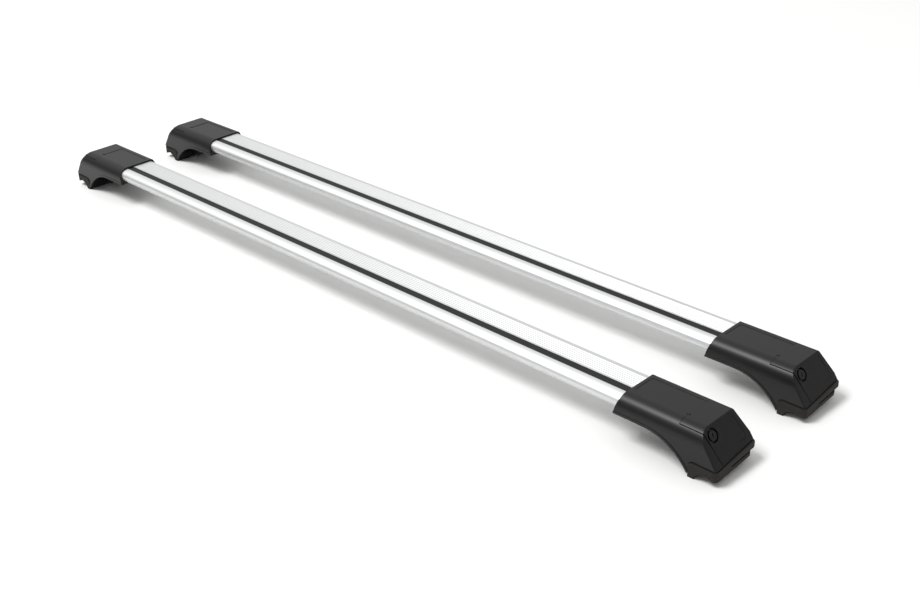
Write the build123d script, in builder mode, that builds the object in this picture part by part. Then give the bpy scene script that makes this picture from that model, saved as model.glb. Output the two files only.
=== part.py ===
from build123d import *
from math import atan2, cos, degrees, radians, sin
import os

# A pair of roof crossbars that stand side by side on their feet, in millimetres.
# X runs along the bars, the rounded noses face -Y, and the feet stand on Z = 0.
# The origin is on the floor, under the middle of the pair.

# The pair
span_between_feet = 942.0
bar_spacing = 161.0
rear_bar_shift = 4.0

# Extruded bar, in section. Y is measured from the bar's middle line.
bar_top = 54.0
bar_thickness = 18.8
nose_reach = 13.0
nose_start_y = -19.0
nose_tip_radius = 7.5
tail_y = 24.3
tail_corner = 3.0
tail_thickness = 9.5
belly_end_y = 3.0
bar_wall = 1.8
web_y = 3.0
insertion = 68.0

# T-slot in the bar's top and the rubber strip in it
slot_y = -13.4
slot_mouth = 10.5
slot_inside = 17.0
slot_depth = 8.2
slot_lip = 2.0
strip_fit = 0.15
strip_leg = 1.6
strip_bevel = 0.3
strip_end_gap = 0.5

# Fine grooves of the extrusion
groove_size = 0.8
top_groove_pitch = 3.4
top_groove_count = 7
top_groove_start_y = -4.6
nose_groove_angles = (190, 205, 219, 233, 241, 249)

# Foot: outer form. X is measured outwards from the mouth.
foot_wall = 2.2
bar_fit = 0.15
foot_top = bar_top + bar_fit + foot_wall
foot_half_width = 35.9
front_radius = 17.5
rear_top_y = 26.2
rear_flare_z = 30.0
rear_radius = 4.0
face_top_x = 102.0
face_slope = 0.67
face_radius = 1.6
mouth_lean = 1.8
mouth_toe = 4.0

# Foot: lower edge, arch, tooth and rim
arch_z = 34.2
arch_start_x = 35.0
tooth_tip_x = 91.8
tooth_tip_z = 3.5
tooth_back_x = 93.3
tooth_radius = 6.0
sole_z = 21.9
sole_rise = 0.063
rim_width = 2.8
rim_proud = 0.6

# Foot: inside
mouth_frame = 4.5
floor_wall = 1.8
floor_length = 66.0
tooth_web = 2.4
tooth_web_top = 18.0

# End cover and its seams
cover_x = 75.5
slit_top_y = -29.3
slit_foot_y = -22.3
cover_skirt_z = 47.0
slit_gap = 0.9
seam_gap = 0.3
face_wall = 2.5
tab_length = 6.0
tab_grip = 6.0
tab_width = 10.0
tab_thickness = 2.0
tab_gap = 0.3
tab_ys = (-8.0, 11.0)

# Shallow panels and the tool notch
panel_depth = 0.4
panel_start_x = 6.0
panel_front_y = -14.0
panel_rear_y = 19.0
panel_radius = 3.5
face_line_width = 0.7
face_line_depth = 0.4
notch_length = 4.0
notch_width = 1.8
notch_depth = 1.2
notch_y = -13.6

# Cylinder lock
lock_y = -18.3
lock_z = 47.3
lock_ring_radius = 7.9
lock_ring_thickness = 1.0
lock_groove_depth = 2.3
lock_barrel_radius = 6.9
lock_length = 13.0
lock_fit = 0.1
boss_radius = 11.5
boss_proud = 0.5
boss_wall = 2.4
boss_length = 9.0
plug_radius = 5.4
plug_fit = 0.05
key_slot_length = 5.6
key_slot_width = 1.4
key_slot_depth = 3.0
cam_thickness = 2.5
cam_length = 13.0
cam_width = 7.0
cam_gap = 0.3
catch_thickness = 2.4
catch_gap = 0.5
catch_reach = 7.0

# Rail pad
pad_gap = 0.2
pad_half_width = 36.5
flange_half_width = 37.0
flange_end_x = 127.5
flange_thickness = 5.0
flange_radius = 7.0
neck_height = 1.5
neck_inset = 1.6
neck_end_x = 122.8
pad_tip_x = 101.0
pad_bend_x = 105.8
pad_bend_z = 9.7
pad_end_x = 127.2
pad_radius = 5.5
seat_start_x = 112.8
seat_start_z = 12.6
seat_end_z = 8.0
lip_rear_y = 29.0
lip_slot_y = -8.0
lip_slot_depth = 3.4
lip_slot_height = 2.4

# Clamp: jaw, lining, screw, washer and barrel nut
jaw_sheet = 3.0
jaw_half_width = 12.0
jaw_gap = 0.8
jaw_web_x = 103.0
jaw_web_top = 34.5
jaw_shelf_z = 17.4
jaw_leg_x = 114.5
jaw_foot_z = 3.4
jaw_travel = 6.5
lining = 1.7
lining_top = 14.0
screw_z = 27.0
screw_radius = 3.0
screw_length = 36.0
screw_head_radius = 5.0
screw_head_height = 6.0
socket_radius = 2.9
socket_depth = 3.0
screw_hole_gap = 0.4
thread_fit = 0.05
washer_radius = 6.0
washer_thickness = 1.6
barrel_radius = 6.0
barrel_length = 20.0
barrel_fit = 0.1

# Bracket that joins bar and clamp
tongue_front_y = -20.5
tongue_rear_y = 1.6
tongue_fit = 0.25
tongue_depth = 52.0
plate_rear_y = 16.0
plate_top_z = 49.0
leg_end_x = 90.5
leg_half_width = 11.0
barrel_x = 83.5
end_gap = 0.6

# Screws that hold the foot, the bar and the bracket together
fixing_xs = (22.0, 50.0)
fixing_y = -10.5
fixing_radius = 2.5
fixing_head_radius = 4.6
fixing_head_height = 2.4
fixing_bite = 5.0
fixing_fit = 0.2

# Sizes that follow from the ones above
bar_bottom = bar_top - bar_thickness
nose_center_z = bar_top - bar_thickness / 2
nose_tip_y = nose_start_y - nose_reach + nose_tip_radius
nose_step = nose_start_y - nose_tip_y
nose_square = nose_step**2 - nose_tip_radius**2 + bar_thickness**2 / 4
nose_flank_radius = nose_square / (bar_thickness - 2 * nose_tip_radius)
nose_flank_z = bar_bottom + nose_flank_radius
nose_turn = 180 + degrees(atan2(nose_flank_z - nose_center_z, nose_step))
tail_bottom = bar_top - tail_thickness
mouth_x = span_between_feet / 2
bar_length = span_between_feet + 2 * insertion
slot_floor = bar_top - slot_depth
floor_top = bar_bottom - bar_fit
floor_bottom = floor_top - floor_wall
arch_drop = arch_z - tooth_tip_z
arch_run = tooth_tip_x - arch_start_x
arch_radius = (arch_run**2 + arch_drop**2) / (2 * arch_drop)
arch_center_z = arch_z - arch_radius
face_angle = atan2(face_slope, 1.0)
face_step = face_wall / cos(face_angle)
neck_top = sole_z - pad_gap
flange_top = neck_top - neck_height
flange_bottom = flange_top - flange_thickness
jaw_leg_end = jaw_leg_x + jaw_sheet
washer_x = jaw_web_x + jaw_sheet
head_x = washer_x + washer_thickness
tongue_bottom = bar_bottom + bar_wall + tongue_fit
tongue_top = slot_floor - bar_wall - tongue_fit
cam_depth = lock_length + cam_gap
catch_depth = cam_depth - catch_gap
inner_front_y = foot_wall - foot_half_width
far = 2 * face_top_x
sole_direction = (0, 1, sole_rise)
sole_stretch = (1 + sole_rise**2) ** 0.5
slit_slope = (slit_foot_y - slit_top_y) / (bar_top - sole_z)


def face_x(z):
    """X of the sloping end face at a height."""
    return face_top_x + (foot_top - z) * face_slope


def slit_y(z):
    """Y of the cover's front edge at a height, which leans back towards the sole."""
    return slit_top_y + (bar_top - z) * slit_slope


lock_normal = Vector(cos(face_angle), 0, sin(face_angle))
face_down = Vector(sin(face_angle), 0, -cos(face_angle))
lock_center = Vector(face_x(lock_z), lock_y, lock_z)


def lock_plane(depth):
    """Plane square to the lock's axis, this far inside the end face, local X pointing down it."""
    return Plane(lock_center - lock_normal * depth, x_dir=face_down, z_dir=lock_normal)


def nose_point(angle):
    """Point on the lower half of the bar's nose, at an angle of its tip arc or its flank arc."""
    center = (nose_tip_y, nose_center_z)
    radius = nose_tip_radius
    if angle > nose_turn:
        center = (nose_start_y, nose_flank_z)
        radius = nose_flank_radius
    turn = radians(angle)
    return center[0] + radius * cos(turn), center[1] + radius * sin(turn)


def make_bar_section(grow):
    """Section of the bar, grown by an amount: round nose in front, flat top, thin tail behind."""
    low_turn = nose_point(nose_turn)
    high_turn = (low_turn[0], 2 * nose_center_z - low_turn[1])
    with BuildSketch() as section:
        with BuildLine():
            Polyline(
                (nose_start_y, bar_top),
                (tail_y, bar_top),
                (tail_y, tail_bottom),
                (belly_end_y, bar_bottom),
                (nose_start_y, bar_bottom),
            )
            flank = TangentArc((nose_start_y, bar_top), high_turn, tangent=(-1, 0))
            tip = TangentArc(high_turn, low_turn, tangent=flank % 1)
            TangentArc(low_turn, (nose_start_y, bar_bottom), tangent=tip % 1)
        make_face()
        fillet(section.vertices().group_by(Axis.X)[-1], tail_corner)
        if grow:
            offset(amount=grow, kind=Kind.INTERSECTION, mode=Mode.REPLACE)
    return section.sketch


def make_foot_section(grow):
    """Outline of the foot seen along the bar, grown by an amount."""
    base_z = -10.0
    with BuildSketch() as section:
        with BuildLine():
            Polyline(
                (-foot_half_width, base_z),
                (-foot_half_width, foot_top),
                (rear_top_y, foot_top),
                (foot_half_width, rear_flare_z),
                (foot_half_width, base_z),
                close=True,
            )
        make_face()
        fillet(section.vertices().group_by(Axis.Y)[-1].sort_by(Axis.X)[0], front_radius)
        fillet(section.vertices().group_by(Axis.Y)[-1].sort_by(Axis.X)[-1], rear_radius)
        if grow:
            offset(amount=grow, kind=Kind.INTERSECTION, mode=Mode.REPLACE)
    return section.sketch


def make_foot_profile():
    """Outline of the foot seen from its front side."""
    arch_middle_x = arch_start_x + arch_radius * sin(radians(30))
    arch_middle_z = arch_center_z + arch_radius * cos(radians(30))
    with BuildSketch() as profile:
        with BuildLine():
            Polyline(
                (arch_start_x, arch_z),
                (-mouth_toe, arch_z),
                (mouth_lean, foot_top),
                (face_top_x, foot_top),
                (face_x(tooth_tip_z + 1), tooth_tip_z + 1),
                (tooth_back_x, tooth_tip_z + 1),
                (tooth_back_x - 0.7, tooth_tip_z),
                (tooth_tip_x, tooth_tip_z),
            )
            ThreePointArc(
                (arch_start_x, arch_z), (arch_middle_x, arch_middle_z), (tooth_tip_x, tooth_tip_z)
            )
        make_face()
    return profile.sketch


bar_section = make_bar_section(0)
bar_hollow = make_bar_section(-bar_wall)
bar_space = make_bar_section(bar_fit)
foot_section = make_foot_section(0)
foot_inside = make_foot_section(-foot_wall)
rim_section = make_foot_section(rim_proud)
foot_profile = make_foot_profile()


def groove_places():
    """Points on the bar's skin where the fine grooves run."""
    places = []
    for index in range(top_groove_count):
        places.append((top_groove_start_y + index * top_groove_pitch, bar_top))
    for angle in nose_groove_angles:
        places.append(nose_point(angle))
    return places


def make_bar():
    """Hollow extrusion with a T-slot in its top and fine grooves along its skin."""
    surround_top = bar_top - slot_lip / 2
    with BuildPart() as bar:
        with BuildSketch(Plane.YZ.offset(-bar_length / 2)):
            add(bar_section)
            add(bar_hollow, mode=Mode.SUBTRACT)
            with Locations((slot_y, surround_top)):
                Rectangle(
                    slot_inside + 2 * bar_wall,
                    surround_top - slot_floor + bar_wall,
                    align=(Align.CENTER, Align.MAX),
                )
            with Locations((web_y, bar_bottom + bar_wall / 2)):
                Rectangle(bar_wall, bar_thickness - bar_wall, align=(Align.CENTER, Align.MIN))
            with Locations((slot_y, slot_floor)):
                Rectangle(
                    slot_inside,
                    slot_depth - slot_lip,
                    align=(Align.CENTER, Align.MIN),
                    mode=Mode.SUBTRACT,
                )
                Rectangle(
                    slot_mouth, slot_depth + 1, align=(Align.CENTER, Align.MIN), mode=Mode.SUBTRACT
                )
            with Locations(*groove_places()):
                Rectangle(groove_size, groove_size, rotation=45, mode=Mode.SUBTRACT)
        extrude(amount=bar_length)
        with BuildSketch(Plane.XY.offset(bar_bottom - 1)):
            for side in (-1, 1):
                with Locations(*[(side * (mouth_x + x), fixing_y) for x in fixing_xs]):
                    Circle(fixing_radius + fixing_fit)
        extrude(amount=bar_wall + 2, mode=Mode.SUBTRACT)
    return bar.part


def make_strip():
    """Rubber strip from foot to foot: a flat top flush with the bar, two legs under the lips."""
    length = span_between_feet - 2 * strip_end_gap
    half_mouth = slot_mouth / 2 - strip_fit
    half_inside = slot_inside / 2 - strip_fit
    lip_z = bar_top - slot_lip - strip_fit
    foot_z = slot_floor + strip_fit
    edge_z = bar_top - strip_bevel
    with BuildPart() as strip:
        with BuildSketch(Plane.YZ.offset(-length / 2)):
            with BuildLine():
                Polyline(
                    (slot_y - half_mouth + strip_bevel, bar_top),
                    (slot_y + half_mouth - strip_bevel, bar_top),
                    (slot_y + half_mouth, edge_z),
                    (slot_y + half_mouth, lip_z),
                    (slot_y + half_inside, lip_z),
                    (slot_y + half_mouth, foot_z),
                    (slot_y + half_mouth - strip_leg, foot_z),
                    (slot_y + half_mouth - strip_leg, lip_z),
                    (slot_y - half_mouth + strip_leg, lip_z),
                    (slot_y - half_mouth + strip_leg, foot_z),
                    (slot_y - half_mouth, foot_z),
                    (slot_y - half_inside, lip_z),
                    (slot_y - half_mouth, lip_z),
                    (slot_y - half_mouth, edge_z),
                    close=True,
                )
            make_face()
        extrude(amount=length)
    return strip.part


def make_form():
    """Solid outer form of the foot with the raised rim along its arch, cover and all in one."""
    with BuildPart() as rim:
        with BuildSketch(Plane.XZ):
            with Locations((arch_start_x, arch_center_z)):
                Circle(arch_radius + rim_width)
                Circle(arch_radius, mode=Mode.SUBTRACT)
                Rectangle(far, far, align=(Align.MIN, Align.MIN), mode=Mode.INTERSECT)
            with Locations((arch_start_x, arch_z)):
                Rectangle(far, rim_width, align=(Align.MAX, Align.MIN))
            add(foot_profile, mode=Mode.INTERSECT)
        extrude(amount=far, both=True)
        with BuildSketch(Plane.YZ.offset(-mouth_toe - 1)):
            add(rim_section)
        extrude(amount=far, mode=Mode.INTERSECT)
    with BuildPart() as form:
        with BuildSketch(Plane.XZ):
            add(foot_profile)
        extrude(amount=far, both=True)
        with BuildSketch(Plane.YZ.offset(-mouth_toe - 1)):
            add(foot_section)
        extrude(amount=far, mode=Mode.INTERSECT)
        slope = form.faces().filter_by(lambda face: face.normal_at().dot(lock_normal) > 0.999)
        fillet(slope.edges().filter_by(lambda edge: edge.center().Z > tooth_tip_z + 2), face_radius)
        add(rim.part)
        with BuildSketch(Plane.XZ) as toe:
            with Locations((tooth_back_x, sole_z)):
                Rectangle(far, sole_z + far, align=(Align.MIN, Align.MAX))
            corner = toe.vertices().sort_by_distance((tooth_back_x, sole_z))[0]
            fillet(corner, tooth_radius)
        extrude(amount=far, dir=sole_direction, both=True, mode=Mode.SUBTRACT)
    return form.part


def make_cavity():
    """Space inside the foot, open below, that ends a wall short of the end face."""
    base_z = -5.0
    with BuildPart() as cavity:
        with BuildSketch(Plane.XZ):
            with BuildLine():
                Polyline(
                    (mouth_frame, base_z),
                    (mouth_frame, foot_top),
                    (face_x(foot_top) - face_step, foot_top),
                    (face_x(base_z) - face_step, base_z),
                    close=True,
                )
            make_face()
        extrude(amount=far, both=True)
        with BuildSketch(Plane.YZ):
            add(foot_inside)
        extrude(amount=far, mode=Mode.INTERSECT)
    return cavity.part


def make_cover_space(slit, seam):
    """Region of the foot that belongs to the end cover, grown by the gaps at its seams."""
    low_z = 0.0
    knee_z = cover_skirt_z - seam
    top_z = foot_top + 5
    with BuildPart() as space:
        with BuildSketch(Plane.XZ):
            with BuildLine():
                Polyline(
                    (cover_x - seam, top_z),
                    (far, top_z),
                    (far, low_z),
                    (face_x(low_z) - face_step - seam, low_z),
                    (face_x(knee_z) - face_step - seam, knee_z),
                    (cover_x - seam, knee_z),
                    close=True,
                )
            make_face()
        extrude(amount=far, both=True)
        with BuildSketch(Plane.YZ):
            with BuildLine():
                Polyline(
                    (slit_y(top_z) - slit, top_z),
                    (slit_y(low_z) - slit, low_z),
                    (far, low_z),
                    (far, top_z),
                    close=True,
                )
            make_face()
        extrude(amount=2 * far, mode=Mode.INTERSECT)
    return space.part


form = make_form()
cavity = make_cavity()
cover_space = make_cover_space(0, 0)
housing_space = make_cover_space(slit_gap, seam_gap)


def make_housing():
    """Moulded shell: top, two arched side walls with a tooth each, and the bar's mouth."""
    inside_width = 2 * foot_half_width - foot_wall
    with BuildPart() as catch:
        with BuildSketch(lock_plane(catch_depth)):
            with Locations((0, inner_front_y - foot_wall / 2 - lock_y)):
                Rectangle(2 * cam_width, catch_reach, align=(Align.CENTER, Align.MIN))
        extrude(amount=catch_thickness)
        add(form, mode=Mode.INTERSECT)
    with BuildPart() as housing:
        add(form)
        add(cavity, mode=Mode.SUBTRACT)
        with BuildSketch(Plane.XY.offset(floor_bottom)):
            with Locations((1 - mouth_toe, 0)):
                Rectangle(floor_length, inside_width, align=(Align.MIN, Align.CENTER))
        extrude(amount=floor_wall + 1)
        with BuildSketch(Plane.XY.offset(tooth_tip_z + 1)):
            with Locations((tooth_back_x, 0)):
                Rectangle(tooth_web, inside_width, align=(Align.MAX, Align.CENTER))
        extrude(amount=tooth_web_top - tooth_tip_z - 1)
        add(catch.part)
        add(housing_space, mode=Mode.SUBTRACT)
        with BuildSketch(Plane.YZ.offset(-mouth_toe - 1)):
            add(bar_space)
        extrude(amount=insertion + mouth_toe + 1 + end_gap, mode=Mode.SUBTRACT)
        with BuildSketch(Plane.XY.offset(floor_bottom - 1)):
            with Locations(*[(x, fixing_y) for x in fixing_xs]):
                Circle(fixing_radius + fixing_fit)
        extrude(amount=floor_wall + 2, mode=Mode.SUBTRACT)
        with BuildSketch(Plane.XY.offset(foot_top - panel_depth)):
            with Locations((panel_start_x, (panel_front_y + panel_rear_y) / 2)):
                RectangleRounded(
                    cover_x + panel_radius - panel_start_x,
                    panel_rear_y - panel_front_y,
                    panel_radius,
                    align=(Align.MIN, Align.CENTER),
                )
        extrude(amount=panel_depth + 1, mode=Mode.SUBTRACT)
        with BuildSketch(Plane.XY.offset(foot_top - notch_depth)):
            with Locations((cover_x - seam_gap, notch_y)):
                Rectangle(notch_length / 2, notch_width, align=(Align.MAX, Align.CENTER))
        extrude(amount=notch_depth + 1, mode=Mode.SUBTRACT)
    return housing.part


def make_end_cover():
    """Cover over the clamp: top, sloping end face with the lock's boss, and two hooked tabs."""
    tab_top = bar_top + bar_fit - tab_gap
    line_top = (lock_z - foot_top + 4) / cos(face_angle)
    line_bottom = (lock_z - sole_z - 7) / cos(face_angle)
    with BuildPart() as boss:
        with BuildSketch(lock_plane(boss_length)):
            Circle(lock_barrel_radius + boss_wall)
        extrude(amount=boss_length)
        with BuildSketch(lock_plane(face_wall / 2)):
            Circle(boss_radius)
            with Locations((line_top - 1, 0)):
                Rectangle(far, far, align=(Align.MIN, Align.CENTER), mode=Mode.INTERSECT)
        extrude(amount=face_wall / 2 + boss_proud)
        add(cover_space, mode=Mode.INTERSECT)
    with BuildPart() as cover:
        add(form)
        add(cavity, mode=Mode.SUBTRACT)
        add(cover_space, mode=Mode.INTERSECT)
        add(boss.part)
        with BuildSketch(Plane.XY.offset(tab_top)):
            with Locations(*[(cover_x - tab_length, y) for y in tab_ys]):
                Rectangle(tab_length + tab_grip, tab_width, align=(Align.MIN, Align.CENTER))
        extrude(amount=-tab_thickness)
        with BuildSketch(Plane.XY.offset(tab_top - tab_thickness)):
            with Locations(*[(cover_x + tab_grip / 2, y) for y in tab_ys]):
                Rectangle(tab_grip / 2, tab_width, align=(Align.MIN, Align.CENTER))
        extrude(amount=tab_thickness + tab_gap + foot_wall / 2)
        with BuildSketch(lock_plane(lock_length + 1)):
            Circle(lock_barrel_radius + lock_fit)
        extrude(amount=far / 4, mode=Mode.SUBTRACT)
        with BuildSketch(lock_plane(lock_groove_depth + lock_ring_thickness)):
            Circle(lock_ring_radius + lock_fit)
        extrude(amount=far / 4, mode=Mode.SUBTRACT)
        with BuildSketch(lock_plane(face_line_depth)):
            with BuildLine():
                Polyline(
                    (line_top, 20.5 - lock_y),
                    (line_bottom - 4, 26.6 - lock_y),
                    (line_bottom, 23.6 - lock_y),
                    (line_bottom, 13.0 - lock_y),
                )
            trace(line_width=face_line_width)
        extrude(amount=face_line_depth + 1, mode=Mode.SUBTRACT)
        with BuildSketch(Plane.XY.offset(foot_top - notch_depth)):
            with Locations((cover_x, notch_y)):
                Rectangle(notch_length / 2, notch_width, align=(Align.MIN, Align.CENTER))
        extrude(amount=notch_depth + 1, mode=Mode.SUBTRACT)
    return cover.part


def make_lock_body():
    """Lock barrel with a ring seated at the bottom of the round groove in the cover's boss."""
    with BuildPart() as body:
        with BuildSketch(lock_plane(lock_length)):
            Circle(lock_barrel_radius)
        extrude(amount=lock_length - lock_groove_depth)
        with BuildSketch(lock_plane(lock_groove_depth + lock_ring_thickness)):
            Circle(lock_ring_radius)
        extrude(amount=lock_ring_thickness)
        with BuildSketch(lock_plane(lock_length + 1)):
            Circle(plug_radius + plug_fit)
        extrude(amount=lock_length + 5, mode=Mode.SUBTRACT)
    return body.part


def make_lock_plug():
    """Turning plug with a keyhole in front and a cam behind, which points down when unlocked."""
    with BuildPart() as plug:
        with BuildSketch(lock_plane(cam_depth)):
            Circle(plug_radius)
        extrude(amount=cam_depth + boss_proud)
        with BuildSketch(lock_plane(cam_depth)):
            Circle(cam_width / 2 + 1)
            Rectangle(cam_length, cam_width, align=(Align.MIN, Align.CENTER))
        extrude(amount=-cam_thickness)
        with BuildSketch(lock_plane(key_slot_depth)):
            SlotOverall(key_slot_length, key_slot_width)
        extrude(amount=key_slot_depth + 5, mode=Mode.SUBTRACT)
    return plug.part


def make_rail_pad():
    """Rubber saddle under the foot's tilted sole: neck, flange, lip over the rail and hooked tip."""
    jaw_reach = jaw_half_width + jaw_gap
    web_opening_x = jaw_web_x - jaw_travel - jaw_gap
    leg_opening_x = jaw_leg_x - lining - jaw_travel - jaw_gap
    opening_end = jaw_leg_end + jaw_gap
    band_x = tooth_back_x + pad_gap
    with BuildPart() as slot:
        with BuildSketch(Plane.XZ):
            with Locations((pad_end_x - lip_slot_depth, flange_bottom)):
                Rectangle(far, lip_slot_height, align=(Align.MIN, Align.MAX))
        extrude(amount=far, dir=sole_direction, both=True)
        with BuildSketch(Plane.XY):
            with Locations((0, lip_slot_y)):
                Rectangle(2 * far, far, align=(Align.MIN, Align.MIN))
        extrude(amount=far, mode=Mode.INTERSECT)
    with BuildPart() as flange:
        with BuildSketch(Plane.XZ) as band:
            with Locations((band_x, flange_top)):
                Rectangle(
                    flange_end_x - band_x, flange_thickness, align=(Align.MIN, Align.MAX)
                )
            corner = band.vertices().sort_by_distance((band_x, flange_top))[0]
            fillet(corner, tooth_radius - neck_height)
        extrude(amount=flange_half_width * sole_stretch, dir=sole_direction, both=True)
        fillet(flange.edges().filter_by(Axis.Z).group_by(Axis.X)[-1], flange_radius)
    with BuildPart() as pad:
        with BuildSketch(Plane.XZ) as side:
            with BuildLine():
                Polyline(
                    (band_x, flange_bottom + 0.5),
                    (band_x, tooth_tip_z + 1),
                    (pad_tip_x, tooth_tip_z + 1),
                    (pad_bend_x, pad_bend_z),
                    (seat_start_x, seat_start_z),
                    (pad_end_x, seat_end_z),
                    (pad_end_x, flange_bottom + 0.5),
                    close=True,
                )
            make_face()
            fillet(side.vertices().sort_by_distance((pad_bend_x, pad_bend_z))[0], 5)
        extrude(amount=pad_half_width * sole_stretch, dir=sole_direction, both=True)
        with BuildSketch(Plane.XY):
            with Locations((pad_tip_x, lip_rear_y)):
                Rectangle(far, far, align=(Align.MIN, Align.MIN))
        extrude(amount=far, mode=Mode.SUBTRACT)
        fillet(pad.edges().filter_by(Axis.Z).group_by(Axis.X)[-1], pad_radius)
        add(slot.part, mode=Mode.SUBTRACT)
        add(flange.part)
        with BuildSketch(Plane.XZ):
            with Locations((band_x + tooth_radius, neck_top)):
                Rectangle(
                    neck_end_x - band_x - tooth_radius,
                    neck_height + 1,
                    align=(Align.MIN, Align.MAX),
                )
        extrude(
            amount=(foot_half_width - neck_inset) * sole_stretch, dir=sole_direction, both=True
        )
        with BuildSketch(Plane.XY):
            with Locations((band_x, 0)):
                Rectangle(pad_tip_x - band_x, 2 * pad_half_width, align=(Align.MIN, Align.CENTER))
        extrude(amount=tooth_radius + tooth_tip_z)
        with BuildSketch(Plane.XY.offset(jaw_shelf_z - jaw_gap)):
            with Locations((web_opening_x, 0)):
                Rectangle(
                    opening_end - web_opening_x, 2 * jaw_reach, align=(Align.MIN, Align.CENTER)
                )
        extrude(amount=neck_top, mode=Mode.SUBTRACT)
        with BuildSketch(Plane.XY):
            with Locations((leg_opening_x, 0)):
                Rectangle(opening_end - leg_opening_x, 2 * jaw_reach, align=(Align.MIN, Align.CENTER))
        extrude(amount=neck_top, mode=Mode.SUBTRACT)
    return pad.part


def make_bracket():
    """Cast bracket: a tongue inside the bar, and a leg with the cross hole for the barrel nut."""
    start_x = insertion + end_gap
    with BuildPart() as bracket:
        with BuildSketch(Plane.YZ.offset(insertion - tongue_depth)):
            with Locations((tongue_front_y, tongue_bottom)):
                Rectangle(
                    tongue_rear_y - tongue_front_y,
                    tongue_top - tongue_bottom,
                    align=(Align.MIN, Align.MIN),
                )
        extrude(amount=tongue_depth + end_gap)
        chamfer(bracket.faces().sort_by(Axis.X)[0].edges(), 1)
        with BuildSketch(Plane.YZ.offset(start_x)):
            with Locations((tongue_front_y, tongue_bottom)):
                Rectangle(
                    plate_rear_y - tongue_front_y,
                    plate_top_z - tongue_bottom,
                    align=(Align.MIN, Align.MIN),
                )
        extrude(amount=leg_end_x - start_x)
        with BuildSketch(Plane.XZ) as leg:
            with BuildLine():
                Polyline(
                    (start_x, tongue_bottom + 2),
                    (start_x, floor_bottom - 3),
                    (62.0, 24.0),
                    (58.0, 15.0),
                    (71.0, 8.0),
                    (leg_end_x - 4, 9.0),
                    (leg_end_x, 14.0),
                    (leg_end_x, tongue_bottom + 2),
                    close=True,
                )
            make_face()
            fillet(leg.vertices().group_by(Axis.Y)[0], 4)
        extrude(amount=leg_half_width, both=True)
        with BuildSketch(Plane.XZ):
            with Locations((barrel_x, screw_z)):
                Circle(barrel_radius + barrel_fit)
        extrude(amount=far, both=True, mode=Mode.SUBTRACT)
        with BuildSketch(Plane.YZ):
            with Locations((0, screw_z)):
                Circle(screw_radius + screw_hole_gap)
        extrude(amount=far, mode=Mode.SUBTRACT)
        with BuildSketch(Plane.XY.offset(tongue_bottom)):
            with Locations(*[(x, fixing_y) for x in fixing_xs]):
                Circle(fixing_radius + thread_fit)
        extrude(amount=fixing_bite + 0.5, mode=Mode.SUBTRACT)
    return bracket.part


def make_fixing_screws():
    """Two screws from below through the foot's floor and the bar into the bracket's tongue."""
    with BuildPart() as screws:
        with BuildSketch(Plane.XY.offset(floor_bottom - fixing_head_height)) as heads:
            with Locations(*[(x, fixing_y) for x in fixing_xs]):
                Circle(fixing_head_radius)
        extrude(amount=fixing_head_height)
        chamfer(screws.edges().group_by(Axis.Z)[0], 0.6)
        with BuildSketch(Plane.XY.offset(floor_bottom)):
            with Locations(*[(x, fixing_y) for x in fixing_xs]):
                Circle(fixing_radius)
        extrude(amount=tongue_bottom + fixing_bite - floor_bottom)
        with BuildSketch(Plane.XY.offset(floor_bottom - fixing_head_height)):
            with Locations(*[(x, fixing_y) for x in fixing_xs]):
                RegularPolygon(2.0, 6)
        extrude(amount=1.6, mode=Mode.SUBTRACT)
    return screws.part


def make_clamp_jaw():
    """Bent steel jaw: upright web for the screw, shelf, and a leg that grips the rail outside."""
    with BuildPart() as jaw:
        with BuildSketch(Plane.XZ):
            with BuildLine():
                Polyline(
                    (jaw_web_x, jaw_shelf_z),
                    (jaw_web_x, jaw_web_top),
                    (jaw_web_x + jaw_sheet, jaw_web_top),
                    (jaw_web_x + jaw_sheet, jaw_shelf_z + jaw_sheet),
                    (jaw_leg_end, jaw_shelf_z + jaw_sheet),
                    (jaw_leg_end, jaw_foot_z),
                    (jaw_leg_x, jaw_foot_z),
                    (jaw_leg_x, jaw_shelf_z),
                    close=True,
                )
            make_face()
        extrude(amount=jaw_half_width, both=True)
        corners = jaw.edges().filter_by(Axis.Y)
        fillet(corners.sort_by_distance((jaw_web_x, 0, jaw_shelf_z))[0], 2.4)
        corners = jaw.edges().filter_by(Axis.Y)
        fillet(corners.sort_by_distance((jaw_leg_end, 0, jaw_shelf_z + jaw_sheet))[0], 2.4)
        fillet(jaw.edges().filter_by(Axis.X).group_by(Axis.Z)[-1], 4)
        with BuildSketch(Plane.YZ.offset(jaw_web_x - 1)):
            with Locations((0, screw_z)):
                Circle(screw_radius + screw_hole_gap)
        extrude(amount=jaw_sheet + 2, mode=Mode.SUBTRACT)
    return jaw.part


def make_jaw_lining():
    """Rubber lining on the inner face of the jaw's leg."""
    with BuildPart() as pad:
        with BuildSketch(Plane.YZ.offset(jaw_leg_x - lining)):
            with Locations((0, (jaw_foot_z + lining_top) / 2)):
                Rectangle(2 * jaw_half_width - 1, lining_top - jaw_foot_z)
        extrude(amount=lining)
        fillet(pad.edges().filter_by(Axis.X), 1.5)
    return pad.part


def make_clamp_screw():
    """Socket head screw that pulls the jaw towards the bracket."""
    with BuildPart() as screw:
        with BuildSketch(Plane.YZ.offset(head_x)):
            with Locations((0, screw_z)):
                Circle(screw_head_radius)
        extrude(amount=screw_head_height)
        chamfer(screw.edges().group_by(Axis.X)[-1], 0.6)
        with BuildSketch(Plane.YZ.offset(head_x - screw_length)):
            with Locations((0, screw_z)):
                Circle(screw_radius)
        extrude(amount=screw_length)
        chamfer(screw.edges().group_by(Axis.X)[0], 0.6)
        with BuildSketch(Plane.YZ.offset(head_x + screw_head_height - socket_depth)):
            with Locations((0, screw_z)):
                RegularPolygon(socket_radius, 6)
        extrude(amount=socket_depth, mode=Mode.SUBTRACT)
    return screw.part


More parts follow.
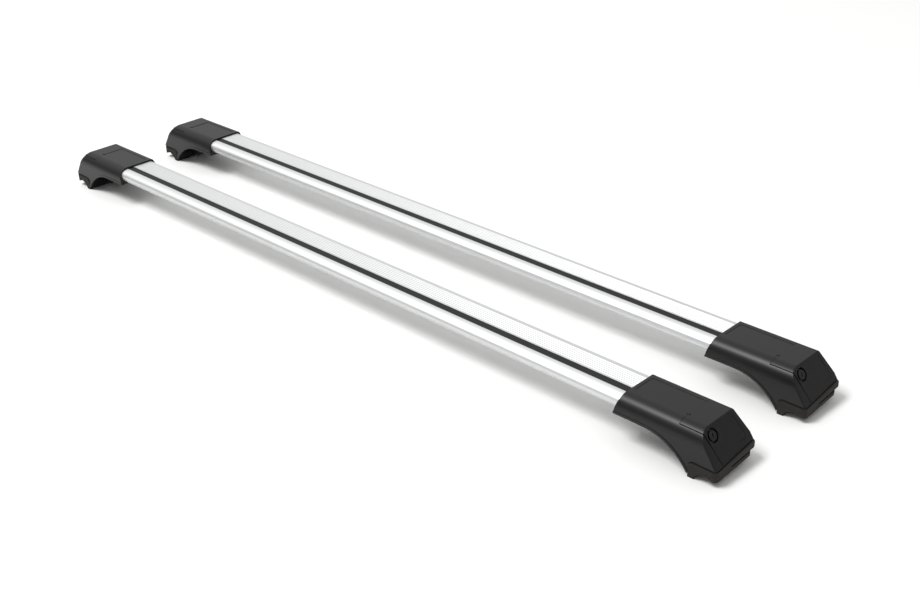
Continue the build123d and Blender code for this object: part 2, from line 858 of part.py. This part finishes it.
def make_washer():
    """Flat washer between the screw's head and the jaw."""
    with BuildPart() as washer:
        with BuildSketch(Plane.YZ.offset(washer_x)):
            with Locations((0, screw_z)):
                Circle(washer_radius)
                Circle(screw_radius + screw_hole_gap, mode=Mode.SUBTRACT)
        extrude(amount=washer_thickness)
    return washer.part


def make_barrel_nut():
    """Round nut that lies across the bracket's leg and takes the clamp screw."""
    with BuildPart() as nut:
        with BuildSketch(Plane.XZ):
            with Locations((barrel_x, screw_z)):
                Circle(barrel_radius)
        extrude(amount=barrel_length / 2, both=True)
        chamfer(nut.edges(), 0.5)
        with BuildSketch(Plane.YZ):
            with Locations((0, screw_z)):
                Circle(screw_radius + thread_fit)
        extrude(amount=far, mode=Mode.SUBTRACT)
    return nut.part


os.makedirs("parts", exist_ok=True)
bar_places = {
    "front": (-rear_bar_shift / 2, -bar_spacing / 2),
    "rear": (rear_bar_shift / 2, bar_spacing / 2),
}
foot_kinds = {
    "housing": make_housing(),
    "end_cover": make_end_cover(),
    "lock_body": make_lock_body(),
    "lock_plug": make_lock_plug(),
    "rail_pad": make_rail_pad(),
    "bracket": make_bracket(),
    "fixing_screws": make_fixing_screws(),
    "clamp_jaw": make_clamp_jaw(),
    "jaw_lining": make_jaw_lining(),
    "clamp_screw": make_clamp_screw(),
    "clamp_washer": make_washer(),
    "barrel_nut": make_barrel_nut(),
}
bar_kinds = {"bar": make_bar(), "slot_strip": make_strip()}

for line, (line_x, line_y) in bar_places.items():
    for kind, piece in bar_kinds.items():
        placed = piece.moved(Location((line_x, line_y, 0)))
        placed.label = f"{line}_{kind}"
        export_step(placed, f"parts/{placed.label}.step")
    for kind, piece in foot_kinds.items():
        for side, sign in (("left", -1), ("right", 1)):
            handed = piece if sign > 0 else piece.mirror(Plane.YZ)
            placed = handed.moved(Location((line_x + sign * mouth_x, line_y, 0)))
            placed.label = f"{line}_{side}_{kind}"
            export_step(placed, f"parts/{placed.label}.step")
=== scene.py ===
import math

import bpy
from mathutils import Matrix, Vector

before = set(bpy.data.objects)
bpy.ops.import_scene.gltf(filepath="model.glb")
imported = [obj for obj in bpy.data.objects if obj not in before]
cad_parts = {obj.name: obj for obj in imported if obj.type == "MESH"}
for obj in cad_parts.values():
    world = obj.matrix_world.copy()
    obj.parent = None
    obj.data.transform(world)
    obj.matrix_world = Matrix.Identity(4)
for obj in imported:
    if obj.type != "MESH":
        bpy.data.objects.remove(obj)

bl_info = {
    "name": "Roof crossbar looks",
    "version": (1, 0, 0),
    "blender": (4, 5, 0),
    "location": "View3D > Sidebar > Crossbars",
    "description": "Finishes, studio and camera for a pair of roof crossbars",
    "category": "Object",
}

LINES = ("front", "rear")
FEET = ("front_left", "front_right", "rear_left", "rear_right")

# Photo camera: azimuth, elevation and roll in degrees, place in metres, lens in millimetres
CAMERA_ANGLES = (44.94, 28.23, -1.54)
CAMERA_PLACE = (1.1504, -1.0257, 0.7710)
CAMERA_LENS = 50.0
CAMERA_SENSOR = 36.0

# Studio, in metres
KEY_PLACE = (-2.0, -3.2, 6.5)
KEY_SIZE = (3.0, 3.0)
STUDIO_MIDDLE = (0, 0, 0)
FLOOR_SIZE = 40.0

# Direction in which the surround glows, and how far round it the glow reaches (a cosine)
GLOW_DIRECTION = (-0.66, 0.46, 0.59)
GLOW_REACH = 0.5
# Sine of the elevation at which the surround reaches its full strength
OVERHEAD = 0.8

# Radius in metres that the finish softens edges by, on mouldings and on the extrusion
EDGE_RADIUS = 0.0003
EXTRUSION_EDGE_RADIUS = 0.0006


def linear(code, alpha=1.0):
    """sRGB hex colour turned into the linear values that shaders take."""
    values = [int(code[i : i + 2], 16) / 255 for i in (1, 3, 5)]
    return [v / 12.92 if v <= 0.04045 else ((v + 0.055) / 1.055) ** 2.4 for v in values] + [alpha]


def add_node(tree, kind, inputs=None, **settings):
    """Adds a shader node, sets its own values and plugs or sets its inputs."""
    node = tree.nodes.new(kind)
    for name, value in settings.items():
        setattr(node, name, value)
    for name, value in (inputs or {}).items():
        socket = node.inputs[name]
        if isinstance(value, bpy.types.NodeSocket):
            tree.links.new(value, socket)
        else:
            socket.default_value = value
    return node


def new_material(name):
    """An empty node material with its shader and output, and the object's own coordinates."""
    material = bpy.data.materials.new(name)
    material.use_nodes = True
    tree = material.node_tree
    tree.nodes.clear()
    shader = add_node(tree, "ShaderNodeBsdfPrincipled")
    add_node(tree, "ShaderNodeOutputMaterial", {"Surface": shader.outputs["BSDF"]})
    place = add_node(tree, "ShaderNodeTexCoord").outputs["Object"]
    return material, tree, shader, place


def stretched(tree, place, scale):
    """Coordinates scaled along each axis, so that a pattern can run along the bar."""
    mapping = add_node(tree, "ShaderNodeMapping", {"Vector": place, "Scale": scale})
    return mapping.outputs["Vector"]


def grain(tree, shader, vector, scale, distance, strength, detail=2.0, edge=EDGE_RADIUS):
    """Bump from noise at a real size, over edges softened by a small radius."""
    noise = add_node(
        tree, "ShaderNodeTexNoise", {"Vector": vector, "Scale": scale, "Detail": detail}
    )
    soft = add_node(tree, "ShaderNodeBevel", {"Radius": edge}, samples=6)
    bump = add_node(
        tree,
        "ShaderNodeBump",
        {
            "Height": noise.outputs["Fac"],
            "Distance": distance,
            "Strength": strength,
            "Normal": soft.outputs["Normal"],
        },
    )
    tree.links.new(bump.outputs["Normal"], shader.inputs["Normal"])
    return noise


def anodised_aluminium():
    """Silver anodised extrusion: fine drawing lines run along the bar."""
    material, tree, shader, place = new_material("Silver anodised aluminium")
    lines = stretched(tree, place, (0.6, 1.0, 1.0))
    noise = grain(
        tree,
        shader,
        lines,
        scale=900.0,
        distance=0.00002,
        strength=0.35,
        edge=EXTRUSION_EDGE_RADIUS,
    )
    rough = add_node(
        tree,
        "ShaderNodeMapRange",
        {"Value": noise.outputs["Fac"], "To Min": 0.42, "To Max": 0.54},
    )
    tree.links.new(rough.outputs["Result"], shader.inputs["Roughness"])
    shader.inputs["Base Color"].default_value = linear("#DFE0E0")
    shader.inputs["Metallic"].default_value = 1.0
    return material


def grained_black(name, code, roughness, strength, shine):
    """Black plastic or powder coat with the fine grain of its mould or spray."""
    material, tree, shader, place = new_material(name)
    grain(tree, shader, place, scale=1800.0, distance=0.00004, strength=strength, detail=3.0)
    shader.inputs["Base Color"].default_value = linear(code)
    shader.inputs["Roughness"].default_value = roughness
    shader.inputs["Specular IOR Level"].default_value = shine
    return material


def soft_rubber(name, code, roughness):
    """Moulded rubber with a faint uneven skin."""
    material, tree, shader, place = new_material(name)
    grain(tree, shader, place, scale=700.0, distance=0.00005, strength=0.3)
    shader.inputs["Base Color"].default_value = linear(code)
    shader.inputs["Roughness"].default_value = roughness
    shader.inputs["Specular IOR Level"].default_value = 0.3
    return material


def black_lacquer():
    """Black lacquered zinc casting of the lock."""
    material, tree, shader, place = new_material("Black lacquered zinc casting")
    grain(tree, shader, place, scale=900.0, distance=0.00002, strength=0.2)
    shader.inputs["Base Color"].default_value = linear("#0E0E0F")
    shader.inputs["Roughness"].default_value = 0.3
    return material


def bare_metal(name, code, roughness, scale):
    """Plain metal with a slight unevenness, for the hidden hardware."""
    material, tree, shader, place = new_material(name)
    grain(tree, shader, place, scale=scale, distance=0.00004, strength=0.3)
    shader.inputs["Base Color"].default_value = linear(code)
    shader.inputs["Metallic"].default_value = 1.0
    shader.inputs["Roughness"].default_value = roughness
    return material


def dress(names, material):
    """Gives carried-over nodes one material."""
    for name in names:
        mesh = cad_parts[name].data
        mesh.materials.clear()
        mesh.materials.append(material)


class CrossbarLooks(bpy.types.PropertyGroup):
    """Values of the finishes and the studio."""

    plastic_roughness: bpy.props.FloatProperty(
        name="Plastic roughness", description="How dull the feet are", default=0.36, min=0, max=1
    )
    plastic_shine: bpy.props.FloatProperty(
        name="Plastic shine", description="Strength of the feet's gloss", default=0.35, min=0, max=1
    )
    light_power: bpy.props.FloatProperty(
        name="Key light", description="Watts of the soft light above", default=430.0, min=0
    )
    fill: bpy.props.FloatProperty(
        name="Fill light", description="Strength of the surround overhead", default=0.6, min=0
    )
    horizon: bpy.props.FloatProperty(
        name="Horizon", description="Strength of the surround at the horizon", default=0.23, min=0
    )
    glow: bpy.props.FloatProperty(
        name="Back glow", description="Extra strength of the surround behind", default=0.44, min=0
    )


class DressBars(bpy.types.Operator):
    """Finish of the two extruded bars and the rubber strips in their slots"""

    bl_idname = "crossbars.dress_bars"
    bl_label = "Dress the bars"

    def execute(self, context):
        dress([f"{line}_bar" for line in LINES], anodised_aluminium())
        rubber = soft_rubber("Black extruded rubber", "#1B1B1B", roughness=0.6)
        dress([f"{line}_slot_strip" for line in LINES], rubber)
        return {"FINISHED"}


class DressFeet(bpy.types.Operator):
    """Finish of the moulded feet, their covers, locks and rail pads"""

    bl_idname = "crossbars.dress_feet"
    bl_label = "Dress the feet"

    def execute(self, context):
        looks = context.scene.crossbar_looks
        mould_grain = 0.25
        finish = (looks.plastic_roughness, mould_grain, looks.plastic_shine)
        shell = grained_black("Black glass-filled nylon", "#101011", *finish)
        cover = grained_black("Black glass-filled nylon cover", "#0F0F10", *finish)
        pad = soft_rubber("Dark grey saddle rubber", "#262321", roughness=0.75)
        dress([f"{foot}_housing" for foot in FEET], shell)
        dress([f"{foot}_end_cover" for foot in FEET], cover)
        dress([f"{foot}_rail_pad" for foot in FEET], pad)
        dress([f"{foot}_jaw_lining" for foot in FEET], pad)
        lacquer = black_lacquer()
        dress([f"{foot}_lock_body" for foot in FEET], lacquer)
        dress([f"{foot}_lock_plug" for foot in FEET], lacquer)
        return {"FINISHED"}


class DressHardware(bpy.types.Operator):
    """Finish of the brackets, jaws, screws, washers and nuts inside the feet"""

    bl_idname = "crossbars.dress_hardware"
    bl_label = "Dress the hardware"

    def execute(self, context):
        # The brackets' near-black #0C0C0D is partly their own dark coat and partly painted shade:
        # darkened so the bracket under the arch matches the shade inside the foot.
        casting = grained_black(
            "Black casting with painted shade", "#0C0C0D", roughness=0.6, strength=0.6, shine=0.3
        )
        steel = bare_metal("Zinc-plated steel", "#B9B8B2", roughness=0.34, scale=900.0)
        dress([f"{foot}_bracket" for foot in FEET], casting)
        for kind in ("clamp_jaw", "clamp_screw", "clamp_washer", "barrel_nut", "fixing_screws"):
            dress([f"{foot}_{kind}" for foot in FEET], steel)
        return {"FINISHED"}


class SetStage(bpy.types.Operator):
    """Camera at the photo's angle, white floor and soft studio light"""

    bl_idname = "crossbars.set_stage"
    bl_label = "Set the stage"

    def execute(self, context):
        scene = context.scene
        looks = scene.crossbar_looks
        add_camera(scene)
        floor = add_floor()
        add_light("Key", looks.light_power, KEY_PLACE, STUDIO_MIDDLE, KEY_SIZE)
        add_surround(scene, looks.horizon, looks.fill, looks.glow)
        scene.view_settings.view_transform = "Standard"
        return {"FINISHED"}


def add_camera(scene):
    """50 mm lens that looks down along the pair from its near right end."""
    azimuth, elevation, roll = (math.radians(a) for a in CAMERA_ANGLES)
    back = Vector(
        (
            math.sin(azimuth) * math.cos(elevation),
            -math.cos(azimuth) * math.cos(elevation),
            math.sin(elevation),
        )
    )
    level = (-back).cross(Vector((0, 0, 1))).normalized()
    upright = level.cross(-back)
    right = level * math.cos(roll) + upright * math.sin(roll)
    up = upright * math.cos(roll) - level * math.sin(roll)
    turn = Matrix((right, up, back)).transposed()
    data = bpy.data.cameras.new("Photo camera")
    data.lens = CAMERA_LENS
    data.sensor_width = CAMERA_SENSOR
    data.sensor_fit = "HORIZONTAL"
    camera = bpy.data.objects.new("Photo camera", data)
    scene.collection.objects.link(camera)
    camera.location = CAMERA_PLACE
    camera.rotation_euler = turn.to_euler()
    scene.camera = camera


def add_surround(scene, low, high, glow):
    """White surround, dim at the horizon, brighter overhead and behind the pair."""
    world = bpy.data.worlds.new("White surround")
    scene.world = world
    world.use_nodes = True
    tree = world.node_tree
    direction = add_node(tree, "ShaderNodeTexCoord").outputs["Generated"]
    parts = add_node(tree, "ShaderNodeSeparateXYZ", {"Vector": direction})
    strength = add_node(
        tree,
        "ShaderNodeMapRange",
        {"Value": parts.outputs["Z"], "From Max": OVERHEAD, "To Min": low, "To Max": high},
    )
    behind = add_node(
        tree,
        "ShaderNodeVectorMath",
        {0: direction, 1: GLOW_DIRECTION},
        operation="DOT_PRODUCT",
    )
    lit = add_node(
        tree,
        "ShaderNodeMapRange",
        {"Value": behind.outputs["Value"], "From Min": GLOW_REACH, "To Min": 0.0, "To Max": glow},
    )
    total = add_node(
        tree, "ShaderNodeMath", {0: strength.outputs["Result"], 1: lit.outputs["Result"]}
    )
    background = tree.nodes["Background"]
    background.inputs["Color"].default_value = linear("#FFFFFF")
    tree.links.new(total.outputs["Value"], background.inputs["Strength"])


def add_floor():
    """Wide white floor."""
    bpy.ops.mesh.primitive_plane_add(size=FLOOR_SIZE, location=STUDIO_MIDDLE)
    floor = bpy.context.object
    floor.name = "Floor"
    material, tree, shader, place = new_material("White studio floor")
    shader.inputs["Base Color"].default_value = linear("#F4F4F3")
    shader.inputs["Roughness"].default_value = 0.9
    floor.data.materials.append(material)
    return floor


def add_light(name, power, location, target, size):
    """Rectangular soft light turned to a point."""
    data = bpy.data.lights.new(name, "AREA")
    data.shape = "RECTANGLE"
    data.size, data.size_y = size
    data.energy = power
    light = bpy.data.objects.new(name, data)
    bpy.context.scene.collection.objects.link(light)
    light.location = location
    aim = Vector(target) - Vector(location)
    light.rotation_euler = aim.to_track_quat("-Z", "Y").to_euler()


class CrossbarPanel(bpy.types.Panel):
    """Sidebar with the looks and the steps"""

    bl_idname = "VIEW3D_PT_crossbars"
    bl_label = "Roof crossbars"
    bl_space_type = "VIEW_3D"
    bl_region_type = "UI"
    bl_category = "Crossbars"

    def draw(self, context):
        looks = context.scene.crossbar_looks
        for name in ("plastic_roughness", "plastic_shine", "light_power", "fill", "horizon", "glow"):
            self.layout.prop(looks, name)
        for step in STEPS:
            self.layout.operator(step.bl_idname)


STEPS = (DressBars, DressFeet, DressHardware, SetStage)
CLASSES = (CrossbarLooks,) + STEPS + (CrossbarPanel,)


def register():
    for item in CLASSES:
        bpy.utils.register_class(item)
    bpy.types.Scene.crossbar_looks = bpy.props.PointerProperty(type=CrossbarLooks)


def unregister():
    del bpy.types.Scene.crossbar_looks
    for item in reversed(CLASSES):
        bpy.utils.unregister_class(item)


def main():
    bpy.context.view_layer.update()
    register()
    bpy.ops.crossbars.dress_bars()
    bpy.ops.crossbars.dress_feet()
    bpy.ops.crossbars.dress_hardware()
    bpy.ops.crossbars.set_stage()


if __name__ == "__main__":
    main()
